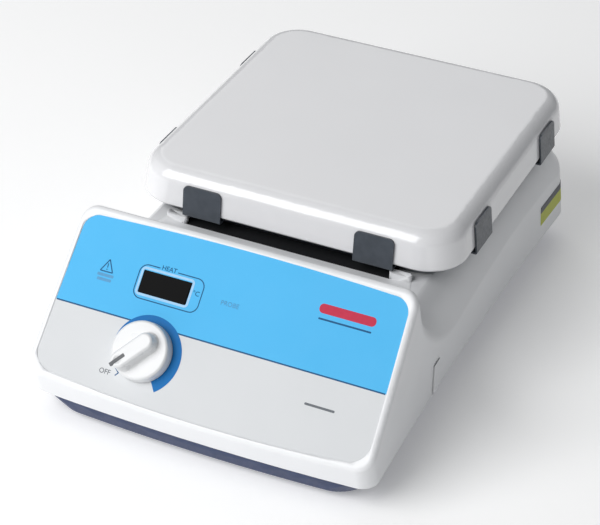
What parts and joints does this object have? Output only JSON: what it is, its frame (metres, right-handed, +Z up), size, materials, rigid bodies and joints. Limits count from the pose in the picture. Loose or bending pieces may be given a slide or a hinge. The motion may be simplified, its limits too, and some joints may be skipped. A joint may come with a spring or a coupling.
{
  "type": "magnetic stirrer",
  "caption": "Heated bench-top magnetic stirrer: a square ceramic plate on a moulded housing whose front rises in a sloped control panel with a display and a pointer knob.",
  "frame": {"origin": "on the bench, at the middle of the outer box's footprint", "axes": "+Z up; +Y towards the rear, under the plate and the mains inlet; the sloped control panel faces -Y; +X to the right as seen from the front"},
  "size_m": [0.191, 0.295, 0.0938],
  "materials": {
    "housing_white": "moulded, low sheen",
    "tray_navy": "moulded, fine texture",
    "foot_rubber": "matt",
    "plate_ceramic": "glossy glaze",
    "pan_steel": "dark enamel",
    "fastener_steel": "zinc plated",
    "fibre_white": "pressed fibre",
    "heater_metal": "oxidised",
    "washer_ceramic": "unglazed",
    "panel_film": "printed film, satin",
    "display_filter": "dark translucent, glossy",
    "display_case": "potted block",
    "board_green": "solder mask",
    "nylon_natural": "moulded",
    "component_black": "moulded",
    "pot_metal": "nickel plated",
    "knob_white": "moulded, low sheen",
    "pointer_grey": "paint fill",
    "inlet_black": "moulded",
    "pin_brass": "nickel plated",
    "sink_aluminium": "extruded",
    "fuse_glass": "clear",
    "core_steel": "laminated",
    "coil_tape": "wrapped tape",
    "motor_steel": "zinc plated",
    "drive_plastic": "moulded",
    "magnet_nickel": "nickel plated",
    "label_yellow": "printed foil"
  },
  "bodies": {
    "root": {"base_screws": "fastener_steel", "base_tray": "tray_navy", "board_pillars": "nylon_natural", "bracket_screws": "fastener_steel", "capacitors": "component_black", "control_board": "board_green", "controller_chip": "component_black", "display_module": "display_case", "display_window": "display_filter", "feet": "foot_rubber", "heat_sink": "sink_aluminium", "heater_element": "heater_metal", "housing": "housing_white", "inlet_pins": "pin_brass", "insulation_pad": "fibre_white", "mains_fuse": "fuse_glass", "motor_bearings": "motor_steel", "motor_bracket": "motor_steel", "motor_can": "motor_steel", "panel_overlay": "panel_film", "plate_nuts": "fastener_steel", "plate_pan": "pan_steel", "plate_screws": "fastener_steel", "plate_sensor": "heater_metal", "plate_washers": "washer_ceramic", "potentiometer": "pot_metal", "potentiometer_nut": "pot_metal", "power_board": "board_green", "power_board_pillars": "nylon_natural", "power_inlet": "inlet_black", "probe_jack": "inlet_black", "probe_jack_nut": "pot_metal", "side_label": "label_yellow", "top_plate": "plate_ceramic", "transformer_coil": "coil_tape", "transformer_core": "core_steel", "transformer_feet": "core_steel", "triac": "component_black"},
    "knob": {"control_knob": "knob_white", "knob_pointer": "pointer_grey", "potentiometer_shaft": "pot_metal"},
    "stir_drive": {"motor_shaft": "motor_steel", "magnet_carrier": "drive_plastic", "drive_magnets": "magnet_nickel", "cooling_fan": "drive_plastic"}
  },
  "joints": [
    {"name": "knob_turn", "type": "hinge", "parent": "root", "child": "knob", "pos_m": [-0.0357, -0.12782, 0.04735], "axis": [0, 0.7153, -0.6988], "range_deg": [0, 285]},
    {"name": "drive_spin", "type": "hinge", "parent": "root", "child": "stir_drive", "pos_m": [0, 0.05414, 0], "axis": [0, 0, 1], "continuous": true}
  ]
}
